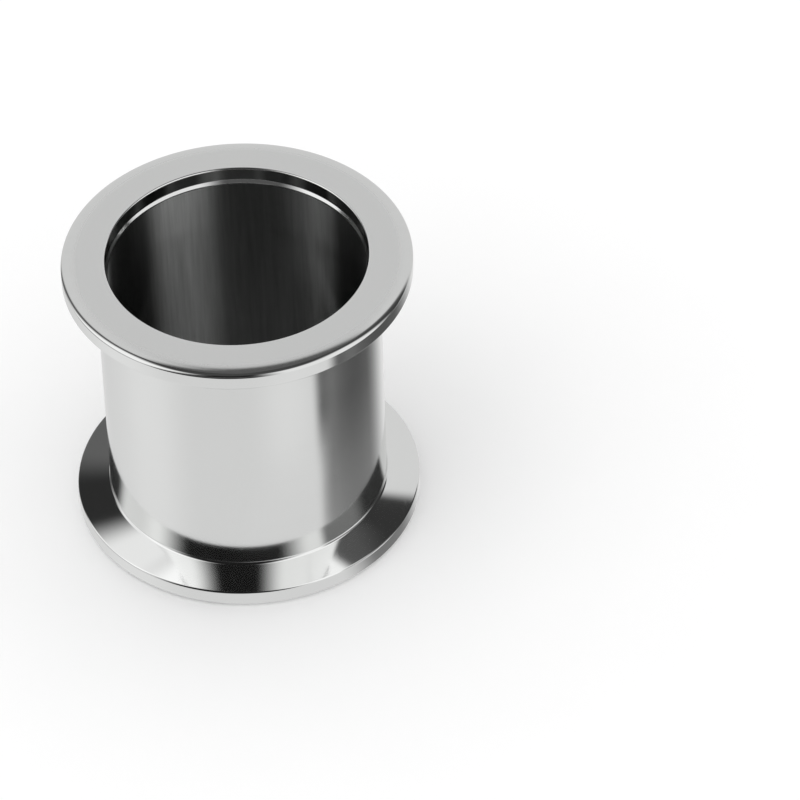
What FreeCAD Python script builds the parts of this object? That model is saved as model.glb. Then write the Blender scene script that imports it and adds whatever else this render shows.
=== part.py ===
import FreeCAD, Part
import math
import os
import Sketcher

# Small-flange vacuum spool pipe: a straight tube with a clamp flange at each end.
# The wall is drawn once, as a half section from the middle of the pipe to one sealing face.
# It is revolved about the bore and mirrored to the other end. Sizes are in millimetres.

doc = FreeCAD.newDocument("spool")

# Driving dimensions, from the bore outwards and from the middle to the sealing face
SIZES = {
    "overall_length": 50.0,      # sealing face to sealing face
    "bore_diameter": 40.5,       # clear way through the tube
    "tube_wall": 2.0,            # gives a 44.5 tube
    "recess_step": 0.35,         # centring recess over the bore, each side, gives 41.2
    "recess_depth": 2.2,         # straight part and mouth of the centring recess
    "step_length": 0.6,          # cone between the recess and the bore
    "mouth_bevel": 0.45,         # broken edge between the sealing face and the recess
    "flange_overhang": 5.25,     # flange over the tube, each side, gives 55
    "face_bevel_width": 1.5,     # shallow bevel round the sealing face
    "face_bevel_drop": 0.27,
    "rim_bevel_width": 0.7,      # steep bevel from there to the rim
    "rim_bevel_drop": 0.63,
    "rim_land": 2.0,             # straight part of the rim
    "back_bevel": 0.25,          # broken edge between the rim and the clamp taper
    "taper_angle": 15.0,         # slope of the clamp taper behind the rim, in degrees
    "neck_radius": 0.5,          # fillet between the clamp taper and the tube
}

sheet = doc.addObject("Spreadsheet::Sheet", "sizes")
for row, (alias, value) in enumerate(SIZES.items(), start=1):
    sheet.set(f"A{row}", alias)
    sheet.set(f"B{row}", str(value))
    sheet.setAlias(f"B{row}", alias)
doc.recompute()


def size(alias):
    """Value of one driving dimension."""
    return float(sheet.get(alias))


def origin_plane(body, role):
    """One of the body's own origin planes, found by its role."""
    return next(item for item in body.Origin.OriginFeatures if item.Role == role)


class Section:
    """A closed outline in a sketch, drawn edge after edge and bound to the sheet."""

    def __init__(self, sketch, start):
        self.sketch = sketch
        self.point = start
        self.edges = {}
        self.order = []

    def line(self, name, end):
        """Straight edge from the last point to the given one."""
        start_3d = FreeCAD.Vector(*self.point, 0)
        end_3d = FreeCAD.Vector(*end, 0)
        self._keep(name, Part.LineSegment(start_3d, end_3d), 1, 2)
        self.point = end

    def arc(self, name, centre, end):
        """Round edge about the centre, by the shorter way to the given point."""
        first = math.atan2(self.point[1] - centre[1], self.point[0] - centre[0])
        last = math.atan2(end[1] - centre[1], end[0] - centre[0])
        radius = math.dist(centre, end)
        circle = Part.Circle(FreeCAD.Vector(*centre, 0), FreeCAD.Vector(0, 0, 1), radius)
        forward = (last - first) % (2 * math.pi) < math.pi
        if forward:
            self._keep(name, Part.ArcOfCircle(circle, first, last), 1, 2)
        else:
            self._keep(name, Part.ArcOfCircle(circle, last, first), 2, 1)
        self.point = end

    def _keep(self, name, curve, first_end, last_end):
        index = self.sketch.addGeometry(curve, False)
        self.edges[name] = (index, first_end, last_end)
        self.order.append(name)

    def join(self, smooth):
        """Join each edge to the next; the pairs named in smooth meet tangentially."""
        following = self.order[1:] + self.order[:1]
        for name, after in zip(self.order, following):
            index, _, last_end = self.edges[name]
            next_index, next_end, _ = self.edges[after]
            kind = "Tangent" if (name, after) in smooth else "Coincident"
            ends = (index, last_end, next_index, next_end)
            self.sketch.addConstraint(Sketcher.Constraint(kind, *ends))

    def upright(self, *names):
        for name in names:
            self.sketch.addConstraint(Sketcher.Constraint("Vertical", self.edges[name][0]))

    def level(self, *names):
        for name in names:
            self.sketch.addConstraint(Sketcher.Constraint("Horizontal", self.edges[name][0]))

    def bind(self, kind, names, value, expression):
        """Dimension on the named edges, driven by an expression of the sheet's sizes."""
        where = []
        for name in names:
            index, first_end, _ = self.edges[name]
            where.extend((index, first_end) if kind in ("DistanceX", "DistanceY") else (index,))
        number = self.sketch.addConstraint(Sketcher.Constraint(kind, *where, value))
        self.sketch.setExpression(f"Constraints[{number}]", expression)


# Radii and heights that follow from the sizes, used to lay the outline out
half_length = size("overall_length") / 2
bore_r = size("bore_diameter") / 2
tube_r = bore_r + size("tube_wall")
recess_r = bore_r + size("recess_step")
rim_r = tube_r + size("flange_overhang")
mouth = size("mouth_bevel")
back = size("back_bevel")
neck = size("neck_radius")
taper = math.radians(size("taper_angle"))

recess_z = half_length - size("recess_depth")
bevel_z = half_length - size("face_bevel_drop")
rim_top_z = bevel_z - size("rim_bevel_drop")
rim_back_z = rim_top_z - size("rim_land")
bevel_r = rim_r - size("rim_bevel_width")
taper_start = (rim_r - back, rim_back_z - back)
neck_centre_x = tube_r + neck
taper_end_x = neck_centre_x - neck * math.sin(taper)
taper_end_z = taper_start[1] - (taper_start[0] - taper_end_x) * math.tan(taper)
neck_centre = (neck_centre_x, taper_end_z - neck * math.cos(taper))

body = doc.addObject("PartDesign::Body", "spool_pipe")
body.Label = "spool_pipe"

section_sketch = body.newObject("Sketcher::SketchObject", "half_section")
section_sketch.AttachmentSupport = [(origin_plane(body, "XZ_Plane"), "")]
section_sketch.MapMode = "FlatFace"

section = Section(section_sketch, (bore_r, 0.0))
section.line("bore", (bore_r, recess_z - size("step_length")))
section.line("step", (recess_r, recess_z))
section.line("recess", (recess_r, half_length - mouth))
section.line("mouth", (recess_r + mouth, half_length))
section.line("face", (bevel_r - size("face_bevel_width"), half_length))
section.line("face_bevel", (bevel_r, bevel_z))
section.line("rim_bevel", (rim_r, rim_top_z))
section.line("rim", (rim_r, rim_back_z))
section.line("back_edge", taper_start)
section.line("taper", (taper_end_x, taper_end_z))
section.arc("neck", neck_centre, (tube_r, neck_centre[1]))
section.line("tube", (tube_r, 0.0))
section.line("middle", (bore_r, 0.0))

section.join(smooth={("taper", "neck"), ("neck", "tube")})
section.upright("bore", "recess", "rim", "tube")
section.level("face", "middle")

# Places across the wall, from the bore outwards
section.bind("DistanceX", ["bore"], bore_r, "sizes.bore_diameter / 2")
section.bind("DistanceX", ["bore", "middle"], tube_r - bore_r, "sizes.tube_wall")
section.bind("DistanceX", ["bore", "recess"], recess_r - bore_r, "sizes.recess_step")
section.bind("DistanceX", ["middle", "rim"], rim_r - tube_r, "sizes.flange_overhang")

# Places along the pipe, from the middle to the sealing face
section.bind("DistanceY", ["bore", "face"], half_length, "sizes.overall_length / 2")
section.bind("DistanceY", ["recess", "face"], half_length - recess_z, "sizes.recess_depth")
section.bind("DistanceY", ["step", "recess"], size("step_length"), "sizes.step_length")
section.sketch.addConstraint(Sketcher.Constraint("PointOnObject", section.edges["bore"][0], 1, -1))

# Edges of the sealing face, the rim and the clamp taper
section.bind("DistanceX", ["mouth", "face"], mouth, "sizes.mouth_bevel")
section.bind("DistanceY", ["mouth", "face"], mouth, "sizes.mouth_bevel")
for name, after in (("face_bevel", "rim_bevel"), ("rim_bevel", "rim")):
    width = f"{name}_width"
    drop = f"{name}_drop"
    section.bind("DistanceX", [name, after], size(width), f"sizes.{width}")
    section.bind("DistanceY", [after, name], size(drop), f"sizes.{drop}")
section.bind("DistanceY", ["back_edge", "rim"], size("rim_land"), "sizes.rim_land")
section.bind("DistanceX", ["taper", "back_edge"], back, "sizes.back_bevel")
section.bind("DistanceY", ["taper", "back_edge"], back, "sizes.back_bevel")
section.bind("Angle", ["taper"], math.pi + taper, "180deg + sizes.taper_angle * 1deg")
section.bind("Radius", ["neck"], neck, "sizes.neck_radius")
doc.recompute()

# The outline turned about the bore, and the same half again below the middle
half = body.newObject("PartDesign::Revolution", "half_pipe")
half.Profile = section_sketch
half.ReferenceAxis = (section_sketch, ["V_Axis"])
half.Angle = 360.0
doc.recompute()

both = body.newObject("PartDesign::Mirrored", "both_ends")
both.Originals = [half]
both.MirrorPlane = (origin_plane(body, "XY_Plane"), [""])
body.Tip = both

# The lower sealing face rests on the ground
body.setExpression("Placement.Base.z", "sizes.overall_length / 2")
doc.recompute()

for item in doc.Objects:
    if "Invalid" in item.State or "Error" in item.State:
        raise RuntimeError(f"{item.Name} failed: {item.State}")
if body.Shape.isNull() or not body.Shape.isValid():
    raise RuntimeError("spool_pipe has no valid shape")

os.makedirs("parts", exist_ok=True)
body.Shape.exportStep(f"parts/{body.Label}.step")
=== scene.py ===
"""Looks of a short vacuum spool pipe: the turned wall, its metal finishes and a plain studio."""
import math
from typing import NamedTuple

import bpy
import numpy as np
from bpy.props import FloatProperty, FloatVectorProperty, IntProperty, PointerProperty
from mathutils import Matrix, Vector


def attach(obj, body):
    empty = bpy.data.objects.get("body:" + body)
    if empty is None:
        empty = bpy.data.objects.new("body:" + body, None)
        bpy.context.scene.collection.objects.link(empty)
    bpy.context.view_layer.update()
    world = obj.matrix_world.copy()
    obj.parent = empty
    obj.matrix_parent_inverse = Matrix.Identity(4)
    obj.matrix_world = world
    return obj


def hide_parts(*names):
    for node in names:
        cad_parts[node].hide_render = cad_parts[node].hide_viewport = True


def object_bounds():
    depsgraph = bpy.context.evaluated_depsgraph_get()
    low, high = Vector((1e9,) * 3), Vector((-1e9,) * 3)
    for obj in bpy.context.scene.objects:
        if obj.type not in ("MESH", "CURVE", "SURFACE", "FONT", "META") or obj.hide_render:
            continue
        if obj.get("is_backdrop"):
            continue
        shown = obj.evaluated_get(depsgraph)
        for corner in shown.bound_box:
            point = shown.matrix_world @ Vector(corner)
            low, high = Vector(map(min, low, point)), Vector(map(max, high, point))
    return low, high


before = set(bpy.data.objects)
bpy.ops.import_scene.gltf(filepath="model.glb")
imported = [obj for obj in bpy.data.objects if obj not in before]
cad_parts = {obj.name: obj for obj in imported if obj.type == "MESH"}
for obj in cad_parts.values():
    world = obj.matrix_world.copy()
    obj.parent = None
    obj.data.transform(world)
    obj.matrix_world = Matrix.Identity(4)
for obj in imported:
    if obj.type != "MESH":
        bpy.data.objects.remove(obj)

bl_info = {
    "name": "Vacuum Spool Pipe",
    "version": (1, 0, 0),
    "blender": (4, 5, 0),
    "location": "3D View > Sidebar > Spool Pipe",
    "description": "Builds a short spool pipe with two clamp flanges, and a plain studio round it",
    "category": "Add Mesh",
}

NODE = "spool_pipe"
cad_low, cad_high = (list(corner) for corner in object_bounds())
MM = 0.001


# ---- Sizes and colours that a user would change ----


def length(name, description, default_mm):
    """A length property in metres, with its default given in millimetres."""
    return FloatProperty(
        name=name, description=description, default=default_mm * MM, min=0.0,
        precision=5, subtype="DISTANCE", unit="LENGTH",
    )


def angle(name, description, default_degrees):
    """An angle property, with its default given in degrees."""
    return FloatProperty(
        name=name, description=description, default=math.radians(default_degrees),
        subtype="ANGLE", unit="ROTATION",
    )


def share(name, description, default, highest=1.0):
    """A plain number from 0 to the highest value."""
    return FloatProperty(
        name=name, description=description, default=default, min=0.0, max=highest,
        precision=3, subtype="FACTOR",
    )


def colour(name, description, default):
    """A linear colour property."""
    return FloatVectorProperty(
        name=name, description=description, default=default, min=0.0, max=1.0,
        size=3, subtype="COLOR",
    )


class SpoolSizes(bpy.types.PropertyGroup):
    """Sizes of the turned wall."""

    height: FloatProperty(
        name="Length", description="From one sealing face to the other",
        default=cad_high[2] - cad_low[2], min=0.02, precision=5,
        subtype="DISTANCE", unit="LENGTH",
    )
    bore: length("Bore diameter", "Clear way through the tube", 40.5)
    wall: length("Tube wall", "Thickness of the tube", 2.0)
    overhang: length("Flange overhang", "Flange over the tube, each side", 5.25)
    recess_step: length("Recess step", "Centring recess over the bore, each side", 0.35)
    recess_depth: length("Recess depth", "Depth of the centring recess", 2.2)
    step_length: length("Step length", "Cone between the recess and the bore", 0.6)
    mouth: length("Mouth edge", "Rounding between the sealing face and the recess", 0.3)
    face_edge_width: length("Face edge width", "Oval rounding, measured across the face", 2.6)
    face_edge_drop: length("Face edge drop", "Oval rounding, measured down the rim", 0.9)
    rim_back: length("Rim back", "From the sealing face to the back of the rim", 3.15)
    back_edge: length("Back edge", "Rounding between the rim and the clamp taper", 0.22)
    neck_radius: length("Neck radius", "Fillet between the clamp taper and the tube", 0.5)
    taper: angle("Clamp taper", "Slope of the back of each flange", 15.0)
    turns: IntProperty(
        name="Steps round", description="Faces round the bore", default=512, min=24, max=1024,
    )


class SpoolFinish(bpy.types.PropertyGroup):
    """Colours and polish of the metal."""

    metal: colour("Metal", "Colour of the polished stainless steel", (0.78, 0.785, 0.778))
    # Darker than the outside metal, partly as painted shade of the inside of the tube
    bore_metal_and_shade: colour("Bore metal", "Colour of the drawn inside of the tube",
                       (0.62, 0.628, 0.622))
    face_roughness: share("Face roughness", "Lapped sealing faces", 0.30)
    flange_roughness: share("Flange roughness", "Rim, taper and neck", 0.075)
    tube_roughness: share("Tube roughness", "Polished outside of the tube", 0.12)
    recess_roughness: share("Recess roughness", "Centring recess and its cone", 0.09)
    bore_roughness: share("Bore roughness", "Honed inside of the tube", 0.36)
    bore_grain: share("Bore grain", "How far the honing stretches a highlight", 1.0)


class SpoolStudio(bpy.types.PropertyGroup):
    """Camera, floor and the soft surroundings."""

    floor_colour: colour("Floor", "Colour of the floor", (0.98, 0.98, 0.98))
    surround: share("Surround", "Plain light from all round on the floor", 0.98, 2.0)
    lamp_watts: FloatProperty(
        name="Lamp", description="Power of the soft lamp that draws the shadow",
        default=1.6, min=0.0, subtype="POWER", unit="POWER",
    )
    camera_place: FloatVectorProperty(
        name="Camera", description="Place of the camera", size=3, precision=4,
        default=(0.0, -0.72069, 0.68946), subtype="XYZ", unit="LENGTH",
    )
    camera_aim: FloatVectorProperty(
        name="Aim", description="Point in the middle of the picture", size=3, precision=4,
        default=(0.02471, 0.0, 0.01717), subtype="XYZ", unit="LENGTH",
    )
    camera_roll: angle("Roll", "Lean of the camera about its axis", -1.915)
    camera_lens: FloatProperty(
        name="Lens", description="Focal length in millimetres", default=278.1, min=10.0,
    )


# ---- Nodes ----


class Nodes:
    """Adds nodes to a tree. An input given as a socket is linked, and a plain value is set."""

    def __init__(self, tree):
        self.tree = tree

    def node(self, kind, settings=None, inputs=None):
        """A node of the kind, with its settings and its inputs by name or number."""
        made = self.tree.nodes.new(kind)
        for name, value in (settings or {}).items():
            setattr(made, name, value)
        for name, value in (inputs or {}).items():
            self.put(made.inputs[name], value)
        return made

    def put(self, socket, value):
        """Link or set one input."""
        if isinstance(value, bpy.types.NodeSocket):
            self.tree.links.new(value, socket)
        else:
            socket.default_value = value

    def math(self, operation, *values):
        """A Math node; returns its result."""
        inputs = dict(enumerate(values))
        return self.node("ShaderNodeMath", {"operation": operation}, inputs).outputs[0]

    def total(self, base, *weighted):
        """The base plus each value times its weight, given as pairs."""
        for value, weight in weighted:
            base = self.math("MULTIPLY_ADD", value, weight, base)
        return base

    def ramp(self, value, low, high, to_low=0.0, to_high=1.0):
        """Smooth step of a value from low to high."""
        inputs = {"Value": value, "From Min": low, "From Max": high}
        inputs.update({"To Min": to_low, "To Max": to_high})
        settings = {"interpolation_type": "SMOOTHSTEP"}
        return self.node("ShaderNodeMapRange", settings, inputs).outputs["Result"]

    def mix(self, factor, first, second):
        """Plain mix of two numbers."""
        inputs = {"Factor": factor, "A": first, "B": second}
        return self.node("ShaderNodeMix", {"data_type": "FLOAT"}, inputs).outputs["Result"]

    def mix_colour(self, factor, first, second, blend="MIX"):
        """Mix of two colours."""
        settings = {"data_type": "RGBA", "blend_type": blend}
        made = self.node("ShaderNodeMix", settings)
        for name, value in (("Factor_Float", factor), ("A_Color", first), ("B_Color", second)):
            socket = next(item for item in made.inputs if item.identifier == name)
            self.put(socket, value)
        return next(item for item in made.outputs if item.identifier == "Result_Color")

    def place(self):
        """The place on the object."""
        return self.node("ShaderNodeTexCoord").outputs["Object"]

    def parts(self, vector):
        """The X, Y and Z of a vector."""
        return self.node("ShaderNodeSeparateXYZ", inputs={0: vector}).outputs

    def level_distance(self, part):
        """Distance from the Z axis, the root of x^2 + y^2."""
        squares = [self.math("MULTIPLY", part[number], part[number]) for number in (0, 1)]
        return self.math("SQRT", self.math("ADD", *squares))

    def noise(self, place, scale, detail, roughness=0.5, distortion=0.0):
        """Noise by place, from 0 to 1."""
        inputs = {"Vector": place, "Scale": scale, "Detail": detail,
                  "Roughness": roughness, "Distortion": distortion}
        return self.node("ShaderNodeTexNoise", inputs=inputs).outputs["Fac"]

    def attribute(self, name):
        """A number that the mesh keeps for each point."""
        return self.node("ShaderNodeAttribute", {"attribute_name": name}).outputs["Fac"]

    def group(self, tree, inputs=None, label=""):
        """A node group placed with its inputs by name; returns its outputs."""
        return self.node("ShaderNodeGroup", {"node_tree": tree, "label": label}, inputs).outputs


def group_tree(name, inputs, outputs):
    """A shader node group with number inputs (name, default) and number outputs by name."""
    tree = bpy.data.node_groups.new(name, "ShaderNodeTree")
    for title, default in inputs:
        socket = tree.interface.new_socket(title, in_out="INPUT", socket_type="NodeSocketFloat")
        socket.default_value = default
    for title in outputs:
        tree.interface.new_socket(title, in_out="OUTPUT", socket_type="NodeSocketFloat")
    given = tree.nodes.new("NodeGroupInput")
    result = tree.nodes.new("NodeGroupOutput")
    return tree, Nodes(tree), given.outputs, result.inputs


def principled_material(name):
    """A new material, its nodes and its Principled shader."""
    material = bpy.data.materials.new(name)
    material.use_nodes = True
    return material, Nodes(material.node_tree), material.node_tree.nodes["Principled BSDF"]


def emptied_nodes(owner):
    """The nodes of a new material or world, with none in them."""
    owner.use_nodes = True
    owner.node_tree.nodes.clear()
    return Nodes(owner.node_tree)


# ---- Effects that the finishes share ----


def turning_marks_group():
    """Fine grooves that run round the axis, irregular in depth, with faint patches of chatter."""
    tree, nodes, given, result = group_tree(
        "turning_marks", [("Along", 0.0), ("Pitch", 0.0004)], ["Height", "Tone"]
    )
    part = nodes.parts(nodes.place())
    radius = nodes.level_distance(part)
    groove = nodes.math("DIVIDE", given["Along"], given["Pitch"])
    across = nodes.math("DIVIDE", part[0], radius)
    back = nodes.math("DIVIDE", part[1], radius)
    spot = nodes.node("ShaderNodeCombineXYZ", inputs={0: groove, 1: across, 2: back}).outputs[0]
    fine = nodes.noise(spot, 1.0, 3.0, 0.6)
    band = nodes.noise(spot, 0.17, 2.0)
    nodes.put(result["Height"], fine)
    nodes.put(result["Tone"], nodes.total(nodes.math("MULTIPLY", fine, 0.4), (band, 0.6)))
    return tree


def handling_group():
    """Faint cloudy wipe marks and short hairline scratches that any handled part has."""
    tree, nodes, given, result = group_tree(
        "handling", [("Cloud size", 0.009), ("Hair size", 0.0011)], ["Cloud", "Hairline"]
    )
    place = nodes.place()
    cloud_scale = nodes.math("DIVIDE", 1.0, given["Cloud size"])
    nodes.put(result["Cloud"], nodes.noise(place, cloud_scale, 4.0, 0.55, 0.6))
    lean = {"Vector": place, "Rotation": (0.6, 0.35, 0.9), "Scale": (1.0, 0.045, 1.0)}
    drawn_out = nodes.node("ShaderNodeMapping", inputs=lean).outputs[0]
    hair_scale = nodes.math("DIVIDE", 1.0, given["Hair size"])
    line = nodes.noise(drawn_out, hair_scale, 1.0, 0.4, 0.3)
    nodes.put(result["Hairline"], nodes.ramp(line, 0.66, 0.74))
    return tree


def edge_wear_group():
    """Bare bright metal along the edges, from the mesh's edge attribute broken up by noise."""
    tree, nodes, given, result = group_tree("edge_wear", [("Amount", 1.0)], ["Wear"])
    patches = nodes.ramp(nodes.noise(nodes.place(), 420.0, 3.0, 0.6), 0.3, 0.7, 0.35, 1.0)
    worn = nodes.math("MULTIPLY", nodes.attribute("edge"), patches)
    nodes.put(result["Wear"], nodes.math("MULTIPLY", worn, given["Amount"]))
    return tree


# Painted reflections and painted shade: lighter and darker bands in the bore's colour that run
# along it, by the degrees from the camera's side to the right: name, centre, lean, half width,
# soft side, top, soft top and tone. A later one covers an earlier one.
BORE_PAINTED_LIGHT = (
    ("left_band", 220, 0.0, 27, 10, 90, 1, 1.10),
    ("left_dark", -105, 0.0, 35, 8, 90, 1, 0.17),
    ("right_band", 138, 0.0, 7, 6, 90, 1, 0.58),
    ("right_dark", 104, 0.0, 25, 5, 90, 1, 0.12),
    ("left_side_band", -88, 0.0, 9, 8, 90, 1, 0.7),
    ("right_side_band", 84, 0.0, 7, 6, 90, 1, 0.6),
    ("front_band", 28, 0.0, 14, 9, 90, 1, 0.95),
    ("front_narrow_band", -36, 0.0, 6, 5, 90, 1, 0.6),
)


def painted_light_bands_group():
    """Painted reflections and painted shade: lighter and darker bands that run along the bore,
    over a darker ground of painted shade.

    A band is full inside its width and fades at its sides, by the angle round the axis, which is
    shifted a little by noise. Finer streaks run beside the bands."""
    tree, nodes, given, result = group_tree(
        "painted_light_bands", [("Painted shade level", 0.33), ("Waver", 0.1)], ["Band", "Streak"]
    )
    place = nodes.place()
    part = nodes.parts(place)
    angle_round = nodes.math("ARCTAN2", part[0], nodes.math("MULTIPLY", part[1], -1.0))
    along = {"Vector": place, "Scale": (1.0, 1.0, 0.05)}
    drawn_out = nodes.node("ShaderNodeMapping", inputs=along).outputs[0]
    drift = nodes.math("SUBTRACT", nodes.noise(drawn_out, 60.0, 1.0), 0.5)
    turned = nodes.math("ADD", angle_round, nodes.math("MULTIPLY", drift, given["Waver"]))
    way = (nodes.math("SINE", turned), nodes.math("COSINE", turned), 0.0)
    # Bright bands are painted reflections, dark bands and the ground between them painted shade
    nodes.put(result["Band"], soft_panels(nodes, BORE_PAINTED_LIGHT, way, given["Painted shade level"]))
    nodes.put(result["Streak"], nodes.noise(drawn_out, 1400.0, 3.0, 0.6))
    return tree


# ---- Metal ----

ZONES = ("polished_tube", "turned_flange", "lapped_face", "turned_recess", "honed_bore")

# How strongly the marks show in the metal
HAIRLINE_ROUGHNESS = 0.02     # added along a hairline
HAIRLINE_DEPTH = -0.15        # of the height of a turning groove
WORN_POLISH = -0.35           # of the roughness, where an edge is worn
DARK_METAL, LIGHT_METAL = 0.9, 1.05      # ends of the tint, times the metal's colour
PLAIN_TINT = 0.62             # from the dark end to the light one
WORN_TINT, GROOVE_TINT, CLOUD_TINT = 0.3, 0.18, 0.15
STREAK_LOW, STREAK_RANGE = 0.7, 0.6      # tone of the fine streaks in the bore


class Finish(NamedTuple):
    """Finish of one zone of the wall, with lengths in metres."""

    base: tuple            # linear colour
    roughness: float
    grooves_along: str     # "radius" or "height", by which the grooves follow each other
    pitch: float           # roughly from one turning groove to the next
    depth: float           # of the bump
    spread: float          # how far the grooves vary the roughness
    cloudy: float          # how far the wipe marks vary the roughness
    lapped: float = 0.0    # roughness added where the lapping of the sealing face reaches
    grain: float = 0.0     # how far honing stretches a highlight, and where above 0, bands of painted reflection and painted shade in the colour


def zone_finishes(finish):
    """The finish of each zone, from the chosen colours and polish."""
    base, inside = tuple(finish.metal), tuple(finish.bore_metal_and_shade)
    faint = 0.001 * MM
    return {
        "polished_tube": Finish(
            base, finish.tube_roughness, "height", 0.9 * MM, 0.0, spread=0.03, cloudy=0.04),
        "turned_flange": Finish(
            base, finish.flange_roughness, "height", 0.5 * MM, 0.0, spread=0.03, cloudy=0.03,
            lapped=finish.face_roughness - finish.flange_roughness),
        "lapped_face": Finish(
            base, finish.face_roughness, "radius", 0.3 * MM, faint, spread=0.12, cloudy=0.06),
        "turned_recess": Finish(
            base, finish.recess_roughness, "height", 0.3 * MM, 0.0, spread=0.05, cloudy=0.03),
        # The bore's colour also takes painted reflections and painted shade, through its grain
        "honed_bore": Finish(
            inside, finish.bore_roughness, "height", 0.6 * MM, faint, spread=0.08, cloudy=0.08,
            grain=finish.bore_grain),
    }


def metal(name, groups, finish):
    """Steel with turning marks along the radius or the height, wipe marks, hairlines and wear, and
    in the bore painted reflections and painted shade.

    The roughness is the finish's own, raised by the groove tone times its spread, by the clouds
    times its cloudy share and by the mesh's lapping attribute times its lapped share, and lowered
    where the edges are worn. The grooves and hairlines also give a bump."""
    material, nodes, shader = principled_material(name)
    part = nodes.parts(nodes.place())
    run = nodes.level_distance(part) if finish.grooves_along == "radius" else part[2]
    marks = nodes.group(groups["turning"], {"Along": run, "Pitch": finish.pitch})
    handled = nodes.group(groups["handling"])
    wear = nodes.group(groups["wear"])["Wear"]
    tone = nodes.math("SUBTRACT", marks["Tone"], 0.5)
    cloud = nodes.math("SUBTRACT", handled["Cloud"], 0.5)

    rough = nodes.total(
        finish.roughness, (tone, finish.spread), (cloud, finish.cloudy),
        (handled["Hairline"], HAIRLINE_ROUGHNESS), (wear, WORN_POLISH * finish.roughness),
    )
    if finish.lapped:
        rough = nodes.total(rough, (nodes.attribute("lapping"), finish.lapped))
    nodes.put(shader.inputs["Roughness"], rough)

    level = nodes.total(
        PLAIN_TINT, (wear, WORN_TINT), (tone, GROOVE_TINT), (cloud, CLOUD_TINT))
    dark = tuple(DARK_METAL * value for value in finish.base) + (1.0,)
    light = tuple(min(1.0, LIGHT_METAL * value) for value in finish.base) + (1.0,)
    tint = nodes.mix_colour(level, dark, light)
    # In the bore, painted reflections and painted shade are multiplied into the colour, with fine
    # real streaks
    if finish.grain:
        bands = nodes.group(groups["bands"])
        streak = nodes.total(STREAK_LOW, (bands["Streak"], STREAK_RANGE))
        drawn = nodes.math("MULTIPLY", bands["Band"], streak)
        tint = nodes.mix_colour(1.0, tint, drawn, "MULTIPLY")
    nodes.put(shader.inputs["Base Color"], tint)

    height = nodes.total(marks["Height"], (handled["Hairline"], HAIRLINE_DEPTH))
    bump = {"Height": height, "Strength": 1.0, "Distance": finish.depth}
    nodes.put(shader.inputs["Normal"], nodes.node("ShaderNodeBump", inputs=bump).outputs[0])

    shader.inputs["Metallic"].default_value = 1.0
    shader.inputs["Anisotropic"].default_value = finish.grain
    if finish.grain:
        # A quarter turn from the way round the bore, so that highlights stretch along it
        shader.inputs["Anisotropic Rotation"].default_value = 0.25
        tangent = nodes.node("ShaderNodeTangent", {"direction_type": "RADIAL", "axis": "Z"})
        nodes.put(shader.inputs["Tangent"], tangent.outputs[0])
    return material


# ---- The turned wall ----

SMALL_EDGE = 0.12 * MM        # rounding at both ends of the cone in the recess
STRAIGHT_STEPS = 5

# Columns of an outline's rows: place, direction of travel, number of the zone that the run up to
# it belongs to, how near it is to an edge, and how far the lapping reaches over it
PLACE, WAY, ZONE, EDGE, LAPPING = slice(0, 2), slice(2, 4), 4, 5, 6


class Corner(NamedTuple):
    """A corner of the outline and its rounding."""

    place: tuple           # from the bore's axis and from the middle of the pipe, in metres
    reach: tuple           # lengths that the rounding takes before and after the corner
    steps: int
    run_zone: str          # finish of the straight run that leads to it
    zone: str              # finish of the rounding
    wear: float = 0.0      # of the rounding, at its middle
    lapping: float = 0.0   # of the rounding, at its end


def bend(before, corner, after, lengths, steps):
    """Rounded corner between two straight runs, as points and directions of travel.

    The curve is the conic (a P0 + 2 w b P1 + c P2) / (a + 2 w b + c) with a = (1-t)^2,
    b = t (1-t), c = t^2. P1 is the corner, P0 and P2 lie the given lengths before and after
    it, and w is the cosine of half the turn: equal lengths give a circle, unequal ones an oval."""
    before, corner, after = (np.array(point, float) for point in (before, corner, after))
    way_in = (corner - before) / np.linalg.norm(corner - before)
    way_out = (after - corner) / np.linalg.norm(after - corner)
    first = corner - way_in * lengths[0]
    last = corner + way_out * lengths[1]
    weight = math.sqrt((1 + way_in @ way_out) / 2)
    t = np.linspace(0, 1, steps + 1)[:, None]
    a, b, c = (1 - t) ** 2, t * (1 - t), t**2
    points = (a * first + 2 * weight * b * corner + c * last) / (a + 2 * weight * b + c)
    ways = weight * a * (corner - first) + b * (last - first) + weight * c * (last - corner)
    return points, ways / np.linalg.norm(ways, axis=1)[:, None]


def bend_rows(corner, before, after):
    """Rows of a corner's rounding, from its first point.

    The wear rises and falls over it as the sine of half a turn. The lapping rises from 0 to its
    full share as the smooth step s^2 (3 - 2 s), where s goes from -0.6 to 1 and counts from 0."""
    points, ways = bend(before, corner.place, after, corner.reach, corner.steps)
    ticks = corner.steps + 1
    late = np.clip(np.linspace(-0.6, 1, ticks), 0, 1)
    zone = np.full(ticks, ZONES.index(corner.zone), float)
    wear = corner.wear * np.sin(np.linspace(0, math.pi, ticks))
    lapping = corner.lapping * late**2 * (3 - 2 * late)
    return np.column_stack([points, ways, zone, wear, lapping])


def straight_rows(start, end, way, zone):
    """Rows of a straight run after its start, closer together towards both ends.

    The share of the run at step k of n is (1 - cos(pi k / n)) / 2."""
    start, end = np.array(start, float), np.array(end, float)
    portion = (1 - np.cos(np.linspace(0, math.pi, STRAIGHT_STEPS + 1)[1:])) / 2
    points = start + portion[:, None] * (end - start)
    fixed = np.tile([way[0], way[1], ZONES.index(zone), 0.0, 0.0], (STRAIGHT_STEPS, 1))
    return np.hstack([points, fixed])


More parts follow.
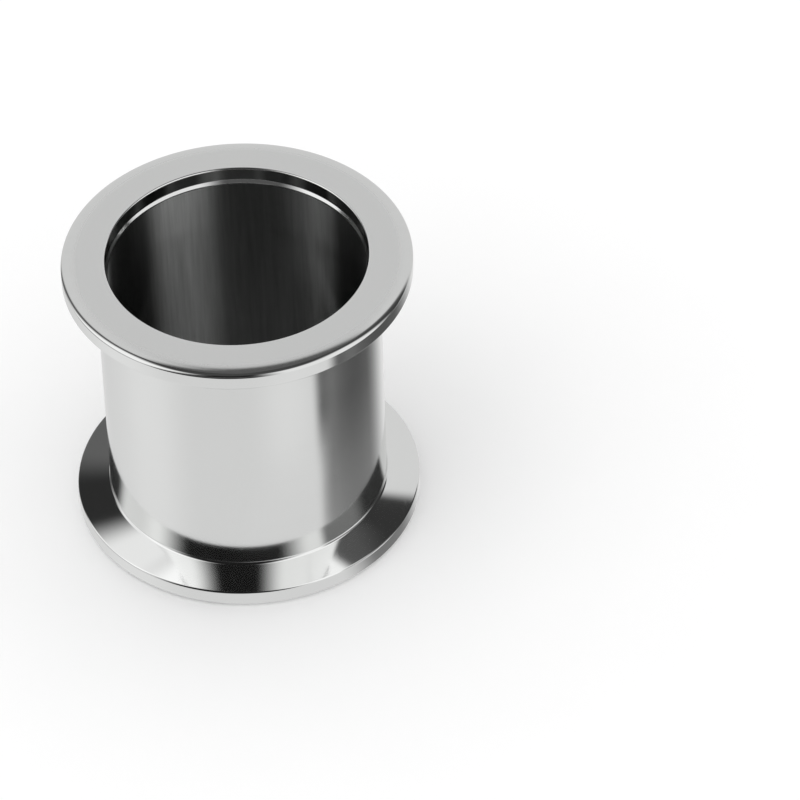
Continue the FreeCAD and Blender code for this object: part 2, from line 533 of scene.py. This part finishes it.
def half_section(sizes):
    """Upper half of the wall's outline, from the outside of the tube over the flange to the bore.

    Rounded corners are joined by straight runs. Each row is laid out as the columns say."""
    end = sizes.height / 2
    bore = sizes.bore / 2
    tube = bore + sizes.wall
    recess = bore + sizes.recess_step
    rim = tube + sizes.overhang
    floor = end - sizes.recess_depth
    slope = math.tan(sizes.taper)
    rim_back = end - sizes.rim_back + sizes.back_edge * slope
    neck = rim_back - sizes.overhang * slope
    neck_reach = sizes.neck_radius * math.tan((math.pi / 2 - sizes.taper) / 2)

    oval = (sizes.face_edge_drop, sizes.face_edge_width)
    corners = [
        Corner((tube, neck), (neck_reach,) * 2, 10, "polished_tube", "turned_flange"),
        Corner((rim, rim_back), (sizes.back_edge,) * 2, 7, "turned_flange", "turned_flange", 1.0),
        Corner((rim, end), oval, 26, "turned_flange", "turned_flange", 0.5, lapping=1.0),
        Corner((recess, end), (sizes.mouth,) * 2, 8, "lapped_face", "turned_recess", 1.0),
        Corner((recess, floor), (SMALL_EDGE,) * 2, 3, "turned_recess", "turned_recess"),
        Corner((bore, floor - sizes.step_length), (SMALL_EDGE,) * 2, 4,
               "turned_recess", "turned_recess", 0.8),
    ]
    places = [(tube, 0.0)] + [corner.place for corner in corners] + [(bore, 0.0)]
    start = [tube, 0.0, 0.0, 1.0, ZONES.index("polished_tube"), 0.0, 0.0]
    rows = [np.array([start])]
    for corner, before, after in zip(corners, places, places[2:]):
        rounding = bend_rows(corner, before, after)
        first = rounding[0]
        rows.append(straight_rows(rows[-1][-1, PLACE], first[PLACE], first[WAY], corner.run_zone))
        rows.append(rounding[1:])
    rows.append(straight_rows(rows[-1][-1, PLACE], places[-1], (0.0, -1.0), "honed_bore"))
    return np.vstack(rows)


def turned_mesh(name, sizes):
    """The whole wall turned about the Z axis as one closed skin.

    A point of the outline at radius r and height h becomes (r cos a, r sin a, h) at angle a.
    The lower half is the upper one mirrored in the middle and run through backwards. The normal
    of a run that travels by (x, z) is (z, -x) in the upper half, and its mirror image (z, x) in
    the lower one."""
    upper = half_section(sizes)
    lower = upper[::-1][1:-1]
    both = np.vstack([upper, lower])
    outline, normals = both[:, PLACE].copy(), both[:, WAY][:, ::-1].copy()
    outline[len(upper):, 1] *= -1
    outline[:, 1] += sizes.height / 2
    normals[:len(upper), 1] *= -1
    # A row of faces takes the finish of the point at its upper end of travel
    zones = np.concatenate([upper[1:, ZONE], upper[::-1][:-1, ZONE]])

    rows, turns = len(outline), sizes.turns
    angles = np.arange(turns) * (2 * math.pi / turns)
    spin = np.stack([np.cos(angles), np.sin(angles)], 1)
    points, shades = np.empty((rows, turns, 3)), np.empty((rows, turns, 3))
    for turned, flat in ((points, outline), (shades, normals)):
        turned[..., :2] = flat[:, None, :1] * spin
        turned[..., 2] = flat[:, None, 1]

    row, step = np.meshgrid(np.arange(rows), np.arange(turns), indexing="ij")
    next_row, next_step = (row + 1) % rows, (step + 1) % turns
    quads = np.stack([row * turns + step, row * turns + next_step,
                      next_row * turns + next_step, next_row * turns + step], -1).reshape(-1, 4)

    mesh = bpy.data.meshes.new(name)
    mesh.from_pydata(points.reshape(-1, 3), [], quads)
    mesh.polygons.foreach_set("material_index", np.repeat(zones.astype(np.int32), turns))
    mesh.polygons.foreach_set("use_smooth", np.ones(len(quads), bool))
    for mark, column in (("edge", EDGE), ("lapping", LAPPING)):
        values = np.repeat(both[:, column], turns)
        mesh.attributes.new(mark, "FLOAT", "POINT").data.foreach_set("value", values)

    # The map runs once round the axis and once along the outline
    run = np.concatenate([[0.0], np.cumsum(np.linalg.norm(np.diff(outline, axis=0), axis=1))])
    whole = run[-1] + np.linalg.norm(outline[0] - outline[-1])
    along = np.append(run, whole) / whole
    corner_u = np.stack([step, step + 1, step + 1, step], -1) / turns
    corner_v = np.stack([along[row], along[row], along[row + 1], along[row + 1]], -1)
    uv = np.stack([corner_u, corner_v], -1).reshape(-1)
    mesh.uv_layers.new(name="wall").uv.foreach_set("vector", uv)
    mesh.update()
    mesh.normals_split_custom_set_from_vertices(shades.reshape(-1, 3))
    return mesh


class SPOOL_OT_pipe(bpy.types.Operator):
    """Turn the wall of the pipe with both flanges and give each zone its finish"""

    bl_idname = "spool.pipe"
    bl_label = "Pipe"

    def execute(self, context):
        scene = context.scene
        mesh = turned_mesh("turned_wall", scene.spool_sizes)
        groups = {
            "turning": turning_marks_group(),
            "handling": handling_group(),
            "wear": edge_wear_group(),
            "bands": painted_light_bands_group(),
        }
        finishes = zone_finishes(scene.spool_finish)
        for zone in ZONES:
            mesh.materials.append(metal(zone, groups, finishes[zone]))
        wall = bpy.data.objects.new("turned_wall", mesh)
        scene.collection.objects.link(wall)
        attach(wall, "root")
        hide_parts(NODE)
        return {"FINISHED"}


# ---- The studio ----

# Soft panels round the pipe, by the degrees from the camera's side to the right: name, centre,
# lean, half width, soft side, top, soft top and light. A later one covers an earlier one.
PANELS = (
    ("dim_back", 180, 0.0, 95, 20, 100, 1, 0.05),
    ("back_ceiling", 178, 0.0, 60, 22, 100, 1, 0.11),
    ("front_dim", -18, 0.0, 40, 14, 34, 8, 0.10),
    ("front_dark", -18, 0.0, 60, 14, 5, 4, 0.014),
    ("left_panel", -87, 0.30, 33, 12, 59, 9, 1.10),
    ("right_panel", 54, 0.0, 38, 11, 62, 8, 0.95),
    ("back_wall", 168, 0.24, 50, 7, 60, 4, 0.72),
    ("back_wall_left", -160, 0.24, 22, 7, 68, 5, 0.72),
    ("left_low", -87, 0.30, 33, 12, -8, 9, 0.30),
    ("left_back_low", -125, 0.0, 11, 6, -14, 6, 0.80),
)
# The same for the table that the tube and the rims reflect
TABLE_PANELS = (
    ("left_dim", -156, 0.0, 20, 14, 90, 1, 0.74),
    ("left_glow", -86, 0.0, 25, 21, 90, 1, 0.90),
    ("right_glow", 34, 0.0, 18, 18, 90, 1, 0.86),
    ("soft_shade", 114, 0.0, 27, 22, 90, 1, 0.12),
    ("shade", 90, 0.0, 29, 5, 90, 1, 0.14),
    ("shade_streak", 76, 0.0, 5, 4, 90, 1, 0.17),
    ("shade_heart", 103, 0.0, 15, 11, 90, 1, 0.10),
)
# The same for the low ring that the lower flange reflects
RING_PANELS = (
    ("dim_back", 180, 0.0, 95, 20, 100, 1, 0.03),
    ("left_fade", -85.5, 0.29, 22, 14, 100, 1, 1.22),
    ("left_part", -94, 0.0, 15, 8, 100, 1, 1.00),
    ("right_fade", 52, -0.24, 20, 12, 100, 1, 1.12),
    ("right_end", 88, 0.0, 15, 4, 100, 1, 0.10),
    ("right_part", 59, 0.0, 14, 4, 100, 1, 1.12),
    ("grey_part", 73, 0.0, 23, 4, 52, 12, 0.24),
    ("right_gap", 102, 0.0, 18, 8, 76, 8, 0.04),
    ("back_part", 153, 0.0, 34, 3, 100, 1, 0.80),
    ("left_back_part", -160, 0.0, 22, 6, 100, 1, 0.14),
)
# The same for the floor close to the pipe, where a millimetre from the axis counts as a degree
NEAR_PANELS = (
    ("front_floor", -4, 0.65, 25, 9, 48, 9, 1.0),
)

# Light of the plain room, of its ceiling and of the table, and the degrees of elevation over
# which the ceiling begins and the table ends
ROOM, CEILING, TABLE = 0.014, 0.07, 0.80
CEILING_EDGE = (math.radians(55), math.radians(75))
TABLE_EDGE = (math.radians(-41), math.radians(-34))

# Cards of the stage, in metres. The two rings begin just outside the tube.
RING_HOLE = 22.6 * MM
RING_HEIGHT, RING_REACH = 42.0 * MM, 400.0 * MM
FOOT_RADIUS, FOOT_HEIGHT = 24.0 * MM, 4.0 * MM        # the foot of the tube, which sees the ring
NEAR_HEIGHT, NEAR_REACH = 0.2 * MM, 64.0 * MM
NEAR_FADE, NEAR_SHARE = (28.0 * MM, 56.0 * MM), 0.17
DISC_HEIGHT, DISC_RADIUS = 0.1 * MM, 20.0 * MM
DISC_FADE, DISC_LIGHT = 19.0 * MM, (0.27, 0.05)
FLOOR_HALF = 3.0

LAMP_PLACE, LAMP_SIZE = Vector((-0.55, -0.35, 0.95)), 0.8
CAMERA_SENSOR = 36.0          # width in millimetres
CAMERA_NEAR = 0.05            # nothing closer is drawn, in metres


def soft_panel_group():
    """Share of a soft panel in a direction: full inside its width, fading at its sides and top.

    The panel's centre moves sideways by its lean times the elevation. The group is made once."""
    made = bpy.data.node_groups.get("soft_panel")
    if made:
        return made
    inputs = [("Across", 0.0), ("Ahead", 0.0), ("Elevation", 0.0), ("Centre", 0.0), ("Lean", 0.0),
              ("Half width", 0.6), ("Soft side", 0.2), ("Top", 1.1), ("Soft top", 0.2)]
    tree, nodes, given, result = group_tree("soft_panel", inputs, ["Share"])
    centre = nodes.math("MULTIPLY_ADD", given["Elevation"], given["Lean"], given["Centre"])
    across = nodes.math("MULTIPLY", given["Across"], nodes.math("SINE", centre))
    ahead = nodes.math("MULTIPLY", given["Ahead"], nodes.math("COSINE", centre))
    facing = nodes.math("MINIMUM", nodes.math("ADD", across, ahead), 1.0)
    aside = nodes.math("ARCCOSINE", nodes.math("MAXIMUM", facing, -1.0))
    inner = nodes.math("SUBTRACT", given["Half width"], given["Soft side"])
    outer = nodes.math("ADD", given["Half width"], given["Soft side"])
    sides = nodes.ramp(aside, inner, outer, 1.0, 0.0)
    low = nodes.math("SUBTRACT", given["Top"], given["Soft top"])
    high = nodes.math("ADD", given["Top"], given["Soft top"])
    top = nodes.ramp(given["Elevation"], low, high, 1.0, 0.0)
    nodes.put(result["Share"], nodes.math("MULTIPLY", sides, top))
    return tree


def soft_panels(nodes, rows, way, light):
    """Light with the panels of the rows laid over it, for a way as across, ahead and elevation."""
    tree = soft_panel_group()
    for name, centre, lean, half, side, top, soft_top, strength in rows:
        angles = {"Centre": centre, "Half width": half, "Soft side": side,
                  "Top": top, "Soft top": soft_top}
        inputs = {title: math.radians(value) for title, value in angles.items()}
        inputs.update({"Across": way[0], "Ahead": way[1], "Elevation": way[2], "Lean": lean})
        light = nodes.mix(nodes.group(tree, inputs, name)["Share"], light, strength)
    return light


def level_way(nodes, point):
    """Share to the right and share to the camera of a point's level direction, its level
    distance, and its height."""
    part = nodes.parts(point)
    level = nodes.math("MAXIMUM", nodes.level_distance(part), 0.0001)
    across = nodes.math("DIVIDE", part[0], level)
    ahead = nodes.math("MULTIPLY", nodes.math("DIVIDE", part[1], level), -1.0)
    return across, ahead, level, part[2]


def studio_world(scene, surround):
    """A white world for the camera and through glass, a plain pale one for matt surfaces, and for
    reflections soft panels in a dim room over a pale table."""
    world = bpy.data.worlds.new("studio")
    nodes = emptied_nodes(world)
    world.cycles.sampling_method = "NONE"
    around = nodes.node("ShaderNodeTexCoord").outputs["Generated"]
    across, ahead, level, height = level_way(nodes, around)
    elevation = nodes.math("ARCTAN2", height, level)
    way = (across, ahead, elevation)

    room = nodes.ramp(elevation, *CEILING_EDGE, ROOM, CEILING)
    room = soft_panels(nodes, PANELS, way, room)
    table = soft_panels(nodes, TABLE_PANELS, way, TABLE)
    below = nodes.ramp(elevation, *TABLE_EDGE, 1.0, 0.0)
    light = nodes.mix(below, room, table)

    path = nodes.node("ShaderNodeLightPath").outputs
    light = nodes.mix(path["Is Glossy Ray"], surround, light)
    seen = nodes.math("MAXIMUM", path["Is Camera Ray"], path["Is Transmission Ray"])
    light = nodes.mix(seen, light, 1.0)
    background = nodes.node("ShaderNodeBackground", inputs={"Color": light}).outputs[0]
    nodes.node("ShaderNodeOutputWorld", inputs={"Surface": background})
    scene.world = world


def floor_material(shade):
    """Matt pale paper with a faint grain."""
    material, nodes, shader = principled_material("pale_floor")
    grain = nodes.noise(nodes.place(), 60.0, 4.0)
    low = tuple(0.985 * value for value in shade) + (1.0,)
    nodes.put(shader.inputs["Base Color"], nodes.mix_colour(grain, low, tuple(shade) + (1.0,)))
    shader.inputs["Roughness"].default_value = 0.9
    shader.inputs["Specular IOR Level"].default_value = 0.0
    return material


def bore_shade_material():
    """The floor inside the bore, dim, and lighter in the middle where most light comes down."""
    material = bpy.data.materials.new("bore_shade")
    nodes = emptied_nodes(material)
    _, _, level, _ = level_way(nodes, nodes.place())
    light = nodes.ramp(level, 0.0, DISC_FADE, *DISC_LIGHT)
    glow = nodes.node("ShaderNodeEmission", inputs={"Color": light}).outputs[0]
    nodes.node("ShaderNodeOutputMaterial", inputs={"Surface": glow})
    return material


def ring_material():
    """Soft panels by the direction from the axis, seen from below only.

    The elevation is the one at which the foot of the tube sees a place on the ring."""
    material = bpy.data.materials.new("low_ring")
    nodes = emptied_nodes(material)
    across, ahead, level, _ = level_way(nodes, nodes.place())
    away = nodes.math("MAXIMUM", nodes.math("SUBTRACT", level, FOOT_RADIUS), 0.001 * MM)
    elevation = nodes.math("ARCTAN2", RING_HEIGHT - FOOT_HEIGHT, away)
    light = soft_panels(nodes, RING_PANELS, (across, ahead, elevation), ROOM)
    glow = nodes.node("ShaderNodeEmission", inputs={"Color": light}).outputs[0]
    clear = nodes.node("ShaderNodeBsdfTransparent").outputs[0]
    above = nodes.node("ShaderNodeNewGeometry").outputs["Backfacing"]
    both = nodes.node("ShaderNodeMixShader", inputs={0: above, 1: glow, 2: clear}).outputs[0]
    nodes.node("ShaderNodeOutputMaterial", inputs={"Surface": both})
    return material


def near_floor_material():
    """The pale floor close to the pipe, which gives way to the surroundings further out.

    Here a panel's top is its reach from the axis, given to the group as if it were an angle."""
    material, nodes, shader = principled_material("near_floor")
    across, ahead, level, _ = level_way(nodes, nodes.place())
    reach = nodes.math("MULTIPLY", level, math.radians(1) / MM)
    share_left = nodes.ramp(level, *NEAR_FADE, NEAR_SHARE, 0.0)
    lit = soft_panels(nodes, NEAR_PANELS, (across, ahead, reach), share_left)
    nodes.put(shader.inputs["Alpha"], lit)
    shader.inputs["Base Color"].default_value = (0, 0, 0, 1)
    shader.inputs["Specular IOR Level"].default_value = 0.0
    shader.inputs["Emission Color"].default_value = (TABLE, TABLE, TABLE, 1)
    shader.inputs["Emission Strength"].default_value = 1.0
    return material


def card_mesh(name, corners):
    """One level face through the corners."""
    mesh = bpy.data.meshes.new(name)
    mesh.from_pydata(corners, [], [list(range(len(corners)))])
    return mesh


def disc_mesh(name, height, radius, turns=96):
    """Level disc round the axis, with corners (r cos a, r sin a)."""
    angles = np.linspace(0, 2 * math.pi, turns, endpoint=False)
    corners = [radius * np.cos(angles), radius * np.sin(angles), np.full(turns, height)]
    return card_mesh(name, np.stack(corners, 1))


def ring_mesh(name, height, inner, outer, faces_up, turns=96):
    """Level ring round the axis: points (r sin a, r cos a) at one height for both radii r."""
    angles = np.arange(turns) * (2 * math.pi / turns)
    points = np.zeros((2, turns, 3))
    points[..., 0] = np.array([inner, outer])[:, None] * np.sin(angles)
    points[..., 1] = np.array([inner, outer])[:, None] * np.cos(angles)
    points[..., 2] = height
    step = np.arange(turns)
    after = (step + 1) % turns
    quads = np.stack([step, step + turns, after + turns, after], -1)
    mesh = bpy.data.meshes.new(name)
    mesh.from_pydata(points.reshape(-1, 3), [], quads[:, ::-1] if faces_up else quads)
    return mesh


def stage_piece(scene, mesh, material):
    """A piece of the stage, which isn't part of the object."""
    mesh.materials.append(material)
    piece = bpy.data.objects.new(mesh.name, mesh)
    scene.collection.objects.link(piece)
    piece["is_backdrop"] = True
    return piece


def only_in_reflections(piece):
    """Hide a piece from everything but reflections."""
    piece.visible_camera = False
    piece.visible_diffuse = False
    piece.visible_shadow = False
    piece.visible_transmission = False
    piece.visible_volume_scatter = False


def soft_lamp(scene, watts):
    """The square lamp that draws the shadow, aimed at the foot of the pipe."""
    lamp = bpy.data.lights.new("soft_lamp", "AREA")
    lamp.shape = "SQUARE"
    lamp.size = LAMP_SIZE
    lamp.energy = watts
    holder = bpy.data.objects.new("soft_lamp", lamp)
    scene.collection.objects.link(holder)
    turn = (-LAMP_PLACE).to_track_quat("-Z", "Y").to_matrix().to_4x4()
    holder.matrix_world = Matrix.Translation(LAMP_PLACE) @ turn
    holder.visible_glossy = False


def photo_camera(scene, studio):
    """The camera at the photograph's place, level but for its roll."""
    camera = bpy.data.cameras.new("camera")
    camera.lens = studio.camera_lens
    camera.sensor_width = CAMERA_SENSOR
    camera.clip_start = CAMERA_NEAR
    holder = bpy.data.objects.new("camera", camera)
    scene.collection.objects.link(holder)
    place, aim = Vector(studio.camera_place), Vector(studio.camera_aim)
    ahead = (aim - place).normalized()
    right = ahead.cross(Vector((0, 0, 1))).normalized()
    level = Matrix((right, right.cross(ahead), -ahead)).transposed().to_4x4()
    roll = Matrix.Rotation(studio.camera_roll, 4, "Z")
    holder.matrix_world = Matrix.Translation(place) @ level @ roll
    scene.camera = holder


class SPOOL_OT_stage(bpy.types.Operator):
    """Lay the floor, set up the soft surroundings, the lamp and the camera"""

    bl_idname = "spool.stage"
    bl_label = "Studio"

    def execute(self, context):
        scene = context.scene
        studio = scene.spool_studio
        scene.view_settings.view_transform = "Standard"
        studio_world(scene, studio.surround)

        half = FLOOR_HALF
        ground = card_mesh("floor", [(-half, -half, 0), (half, -half, 0), (half, half, 0),
                                     (-half, half, 0)])
        stage_piece(scene, ground, floor_material(studio.floor_colour)).visible_glossy = False

        # The inside of the pipe stands dark on the floor. The lower flange and the foot of the
        # tube look up at a ring of soft panels, and the lower rim at the floor close by.
        disc = disc_mesh("shade_in_bore", DISC_HEIGHT, DISC_RADIUS)
        ring = ring_mesh("low_ring", RING_HEIGHT, RING_HOLE, RING_REACH, faces_up=False)
        near = ring_mesh("near_floor", NEAR_HEIGHT, RING_HOLE, NEAR_REACH, faces_up=True)
        only_in_reflections(stage_piece(scene, disc, bore_shade_material()))
        only_in_reflections(stage_piece(scene, ring, ring_material()))
        only_in_reflections(stage_piece(scene, near, near_floor_material()))

        soft_lamp(scene, studio.lamp_watts)
        photo_camera(scene, studio)
        return {"FINISHED"}


# ---- Panel, registration and run ----


class SPOOL_PT_panel(bpy.types.Panel):
    """The spool pipe's sizes, finishes and studio, with a button for each step"""

    bl_label = "Spool Pipe"
    bl_idname = "SPOOL_PT_panel"
    bl_space_type = "VIEW_3D"
    bl_region_type = "UI"
    bl_category = "Spool Pipe"

    def draw(self, context):
        scene = context.scene
        for group, operator in (
            (scene.spool_sizes, None),
            (scene.spool_finish, SPOOL_OT_pipe),
            (scene.spool_studio, SPOOL_OT_stage),
        ):
            box = self.layout.box()
            for name in group.__annotations__:
                box.prop(group, name)
            if operator:
                box.operator(operator.bl_idname)


CLASSES = (SpoolSizes, SpoolFinish, SpoolStudio, SPOOL_OT_pipe, SPOOL_OT_stage, SPOOL_PT_panel)
GROUPS = {"spool_sizes": SpoolSizes, "spool_finish": SpoolFinish, "spool_studio": SpoolStudio}


def register():
    for item in CLASSES:
        bpy.utils.register_class(item)
    for name, group in GROUPS.items():
        setattr(bpy.types.Scene, name, PointerProperty(type=group))


def unregister():
    for name in GROUPS:
        delattr(bpy.types.Scene, name)
    for item in reversed(CLASSES):
        bpy.utils.unregister_class(item)


def main():
    """Build the pipe and its studio."""
    register()
    bpy.ops.spool.pipe()
    bpy.ops.spool.stage()


if __name__ == "__main__":
    main()
